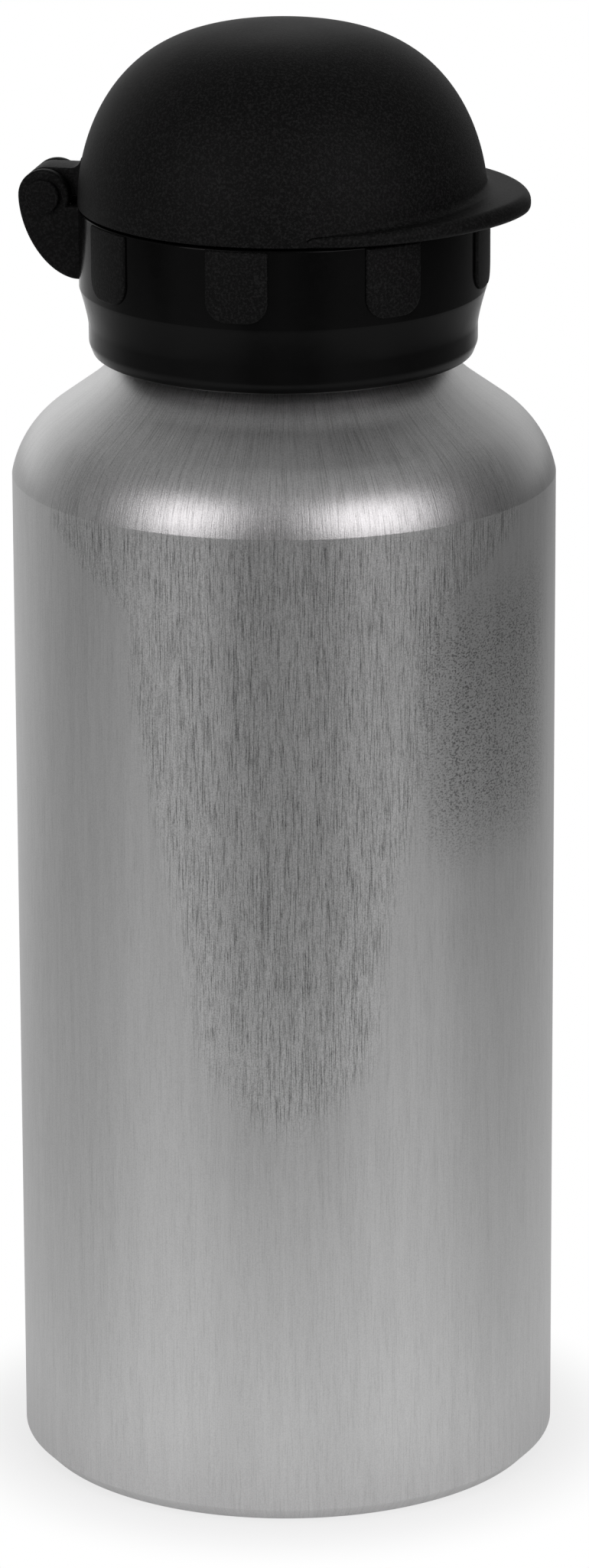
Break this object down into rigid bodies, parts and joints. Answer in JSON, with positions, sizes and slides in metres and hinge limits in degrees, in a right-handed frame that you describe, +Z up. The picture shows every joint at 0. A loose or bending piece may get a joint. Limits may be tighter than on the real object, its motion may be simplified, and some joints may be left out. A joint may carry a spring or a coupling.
{
  "type": "aluminium water bottle",
  "caption": "Slim aluminium drinking bottle with a screw cap, a pull-up sports spout and a hinged dome lid.",
  "frame": {"origin": "centre of the circle that the bottle rests on", "axes": "+Z up along the bottle's axis; +X towards the lid's peak, with the lid's hinge at -X and its pin along Y"},
  "size_m": [0.066, 0.066, 0.1791],
  "materials": {
    "bottle": "satin, drawn vertically on the body and turned on the shoulder",
    "collar": "gloss black",
    "lid": "fine-grained matte black",
    "spout": "satin grey",
    "silicone": "soft matte",
    "seal": "matte black"
  },
  "bodies": {
    "bottle": {"bottle_shell": "bottle"},
    "cap_lift": {"neck_gasket": "silicone"},
    "cap": {"screw_collar": "collar", "spout_stem": "spout", "stem_gasket": "seal", "spout_o_ring": "seal", "vent_valve": "silicone", "hinge_pin": "collar"},
    "lid": {"dome_lid": "lid"},
    "spout": {"pull_spout": "spout", "mouthpiece": "silicone"}
  },
  "joints": [
    {"name": "cap_lift", "type": "slide", "parent": "bottle", "child": "cap_lift", "axis": [0, 0, 1], "range_m": [0, 0.00605]},
    {"name": "cap_turn", "type": "hinge", "parent": "cap_lift", "child": "cap", "pos_m": [0, 0, 0.1523], "axis": [0, 0, 1], "range_deg": [0, 540]},
    {"name": "lid_hinge", "type": "hinge", "parent": "cap", "child": "lid", "pos_m": [-0.0287, 0, 0.15789], "axis": [0, -1, 0], "range_deg": [0, 150]},
    {"name": "spout_pull", "type": "slide", "parent": "cap", "child": "spout", "axis": [0, 0, 1], "range_m": [0, 0.0045]}
  ],
  "couplings": [
    {"joint": "cap_lift", "follows": "cap_turn", "m_per_rad": 0.00063662}
  ]
}
